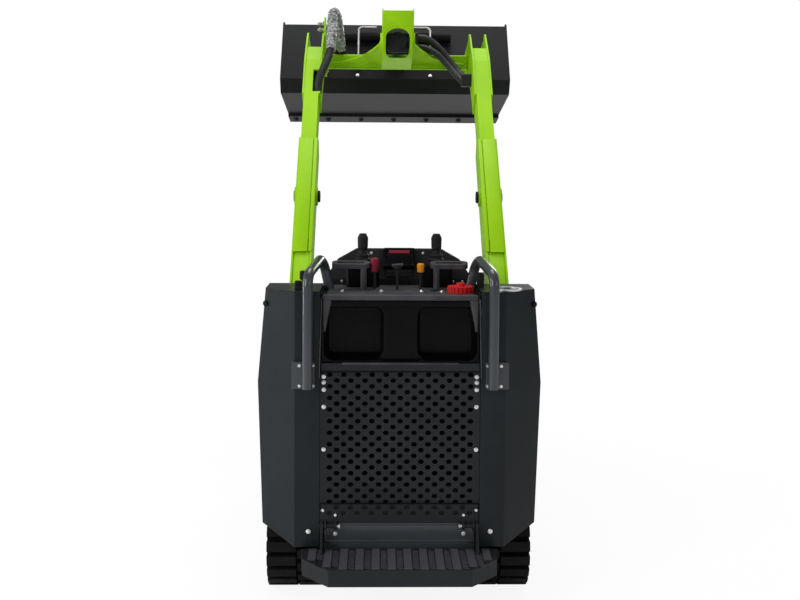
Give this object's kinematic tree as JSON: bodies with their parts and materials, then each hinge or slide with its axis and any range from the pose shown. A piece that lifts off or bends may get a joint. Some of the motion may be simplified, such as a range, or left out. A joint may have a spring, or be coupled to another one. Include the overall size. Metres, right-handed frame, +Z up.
{
  "type": "mini skid steer loader",
  "caption": "Stand-on compact tracked loader with raised lift arms, a wide bucket on a tilting hitch, rear controls and a fold-up operator platform.",
  "frame": {"origin": "centre of the machine's outline on the ground under the tracks, with the arms up", "axes": "+X to the operator's right, +Y forward towards the bucket, +Z up"},
  "size_m": [1.2, 2.5104, 2.4136],
  "materials": {
    "green_paint": "satin lime-green powder coat",
    "grey_paint": "satin dark blue-grey powder coat",
    "black_paint": "semi-matt black paint",
    "bucket_paint": "dark grey satin paint",
    "black_plastic": "glossy black moulding",
    "matt_plastic": "textured black moulding",
    "red_plastic": "red moulded cap",
    "rubber": "black rubber",
    "chrome_rod": "hard chrome plated rod",
    "steel": "zinc plated steel",
    "cast": "painted iron casting"
  },
  "bodies": {
    "chassis": {"console_housing": "black_plastic", "control_levers": "steel", "dash_panel": "matt_plastic", "display_unit": "black_plastic", "drive_motors": "cast", "drive_sprockets": "cast", "engine_block": "cast", "filler_ring": "steel", "front_idlers": "cast", "fuel_cap": "red_plastic", "grab_handle_left": "grey_paint", "grab_handle_right": "grey_paint", "hood_hinges": "black_paint", "joysticks": "matt_plastic", "main_frame": "black_paint", "palm_bars": "matt_plastic", "perforated_panel": "black_paint", "platform_brackets": "black_paint", "road_rollers": "cast", "side_cover_left": "grey_paint", "side_cover_right": "grey_paint", "tie_down_eyes": "black_paint", "track_fenders": "grey_paint", "track_frame_left": "black_paint", "track_frame_right": "black_paint", "track_left": "rubber", "track_right": "rubber"},
    "hood": {"engine_hood": "grey_paint", "front_grille": "black_paint", "work_lamps": "black_paint"},
    "platform": {"step_platform": "black_paint"},
    "lift_arm": {"arm_left": "green_paint", "arm_right": "green_paint", "cross_tube": "green_paint", "tilt_tower": "green_paint", "tilt_hoses": "rubber", "coupler_bracket": "green_paint", "coupler_hoses": "rubber"},
    "lift_barrel_left": {"lift_barrel_left": "black_paint"},
    "lift_barrel_right": {"lift_barrel_right": "black_paint"},
    "lift_rod_left": {"lift_rod_left": "chrome_rod"},
    "lift_rod_right": {"lift_rod_right": "chrome_rod"},
    "tilt_barrel": {"tilt_barrel": "black_paint"},
    "tilt_rod": {"tilt_rod": "chrome_rod"},
    "bucket": {"bucket_shell": "bucket_paint", "cutting_edge": "bucket_paint", "hitch_plate": "bucket_paint", "hitch_lock_levers": "steel"}
  },
  "joints": [
    {"name": "hood_hinge", "type": "hinge", "parent": "chassis", "child": "hood", "pos_m": [0, -0.58556, 1.096], "axis": [1, 0, 0], "range_deg": [0, 60]},
    {"name": "platform_fold", "type": "hinge", "parent": "chassis", "child": "platform", "pos_m": [0, -1.06356, 0.334], "axis": [-1, 0, 0], "range_deg": [0, 85]},
    {"name": "arm_lift", "type": "hinge", "parent": "chassis", "child": "lift_arm", "pos_m": [0, -0.84756, 0.98], "axis": [1, 0, 0], "range_deg": [-69.2, 0]},
    {"name": "bucket_tilt", "type": "hinge", "parent": "lift_arm", "child": "bucket", "pos_m": [0, 0.51044, 2.16], "axis": [1, 0, 0], "range_deg": [-28, 88]},
    {"name": "lift_barrel_swing_left", "type": "hinge", "parent": "chassis", "child": "lift_barrel_left", "pos_m": [-0.393, -0.94756, 0.6], "axis": [1, 0, 0], "range_deg": [-48.2, 0.1]},
    {"name": "lift_rod_slide_left", "type": "slide", "parent": "lift_barrel_left", "child": "lift_rod_left", "axis": [0, 0.513, 0.8584], "range_m": [-0.294, 0.0005]},
    {"name": "lift_barrel_swing_right", "type": "hinge", "parent": "chassis", "child": "lift_barrel_right", "pos_m": [0.393, -0.94756, 0.6], "axis": [1, 0, 0], "range_deg": [-48.2, 0.1]},
    {"name": "lift_rod_slide_right", "type": "slide", "parent": "lift_barrel_right", "child": "lift_rod_right", "axis": [0, 0.513, 0.8584], "range_m": [-0.294, 0.0005]},
    {"name": "tilt_barrel_swing", "type": "hinge", "parent": "lift_arm", "child": "tilt_barrel", "pos_m": [0, -0.00156, 2.236], "axis": [1, 0, 0], "range_deg": [-1.5, 0.6]},
    {"name": "tilt_rod_slide", "type": "slide", "parent": "tilt_barrel", "child": "tilt_rod", "axis": [0, 0.9945, 0.1043], "range_m": [-0.181, 0.0585]}
  ],
  "couplings": [
    {"joint": "lift_barrel_swing_left", "follows": "arm_lift", "ratio": 0.6956},
    {"joint": "lift_rod_slide_left", "follows": "arm_lift", "m_per_rad": 0.2425},
    {"joint": "lift_barrel_swing_right", "follows": "arm_lift", "ratio": 0.6956},
    {"joint": "lift_rod_slide_right", "follows": "arm_lift", "m_per_rad": 0.2425},
    {"joint": "tilt_barrel_swing", "follows": "bucket_tilt", "ratio": -0.015},
    {"joint": "tilt_rod_slide", "follows": "bucket_tilt", "m_per_rad": -0.117}
  ]
}
